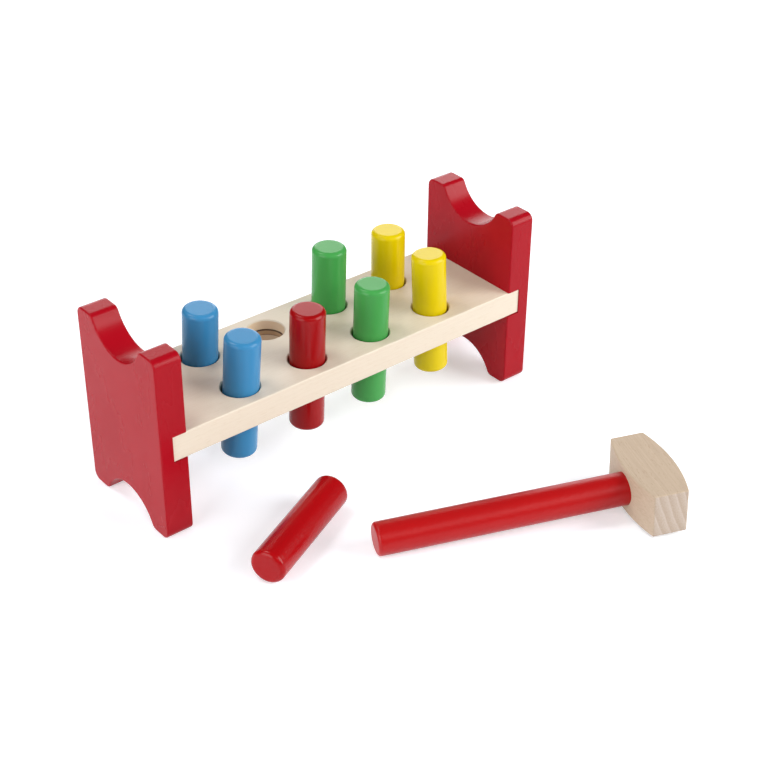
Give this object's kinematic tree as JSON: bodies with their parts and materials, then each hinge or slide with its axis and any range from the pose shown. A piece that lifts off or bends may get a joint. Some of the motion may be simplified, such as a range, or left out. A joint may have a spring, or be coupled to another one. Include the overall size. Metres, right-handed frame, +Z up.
{
  "type": "peg pounding bench",
  "caption": "Wooden toy bench with scalloped end boards and a drilled plank, coloured dowel pegs gripped by friction rings, and a mallet to drive them through.",
  "frame": {"origin": "on the floor, midway between the two end boards and midway between their front and back edges", "axes": "+X along the plank from the left end board to the right one, +Y to the back, +Z up"},
  "size_m": [0.251, 0.2357, 0.1078],
  "materials": {
    "board_red_paint": "satin red paint on wood",
    "plank_birch": "bare sanded pale birch",
    "friction_ring": "matt brown rubber",
    "peg_blue_paint": "satin blue paint on a dowel",
    "peg_red_paint": "satin red paint on a dowel",
    "peg_green_paint": "satin green paint on a dowel",
    "peg_yellow_paint": "satin yellow paint on a dowel",
    "handle_red_paint": "satin red paint on a dowel",
    "head_beech": "bare sanded tan beech"
  },
  "bodies": {
    "bench": {"end_board_left": "board_red_paint", "end_board_right": "board_red_paint", "plank": "plank_birch", "friction_ring_1_back": "friction_ring", "friction_ring_1_front": "friction_ring", "friction_ring_2_back": "friction_ring", "friction_ring_2_front": "friction_ring", "friction_ring_3_back": "friction_ring", "friction_ring_3_front": "friction_ring", "friction_ring_4_back": "friction_ring", "friction_ring_4_front": "friction_ring"},
    "blue_back_peg": {"peg_blue_back": "peg_blue_paint"},
    "blue_front_peg": {"peg_blue_front": "peg_blue_paint"},
    "red_front_peg": {"peg_red_front": "peg_red_paint"},
    "green_back_peg": {"peg_green_back": "peg_green_paint"},
    "green_front_peg": {"peg_green_front": "peg_green_paint"},
    "yellow_back_peg": {"peg_yellow_back": "peg_yellow_paint"},
    "yellow_front_peg": {"peg_yellow_front": "peg_yellow_paint"},
    "loose_peg": {"peg_red_loose": "peg_red_paint"},
    "mallet": {"mallet_handle": "handle_red_paint", "mallet_head": "head_beech"}
  },
  "joints": [
    {"name": "blue_back_drive", "type": "slide", "parent": "bench", "child": "blue_back_peg", "axis": [0.0288, -0.0499, 0.9983], "range_m": [-0.0195, 0.0418]},
    {"name": "blue_front_drive", "type": "slide", "parent": "bench", "child": "blue_front_peg", "axis": [0.0375, -0.0649, 0.9972], "range_m": [-0.0204, 0.0408]},
    {"name": "red_front_drive", "type": "slide", "parent": "bench", "child": "red_front_peg", "axis": [0.0148, -0.0257, 0.9996], "range_m": [-0.02, 0.0414]},
    {"name": "green_back_drive", "type": "slide", "parent": "bench", "child": "green_back_peg", "axis": [0.0122, -0.0212, 0.9997], "range_m": [-0.0265, 0.0349]},
    {"name": "green_front_drive", "type": "slide", "parent": "bench", "child": "green_front_peg", "axis": [0.0157, -0.0272, 0.9995], "range_m": [-0.0198, 0.0416]},
    {"name": "yellow_back_drive", "type": "slide", "parent": "bench", "child": "yellow_back_peg", "axis": [0, 0, 1], "range_m": [-0.0226, 0.039]},
    {"name": "yellow_front_drive", "type": "slide", "parent": "bench", "child": "yellow_front_peg", "axis": [-0.0209, 0.0363, 0.9991], "range_m": [-0.0227, 0.0386]},
    {"name": "loose_peg_lift", "type": "slide", "parent": "bench", "child": "loose_peg", "axis": [0, 0, 1], "range_m": [0, 0.15]},
    {"name": "mallet_lift", "type": "slide", "parent": "bench", "child": "mallet", "axis": [0, 0, 1], "range_m": [0, 0.15]}
  ]
}
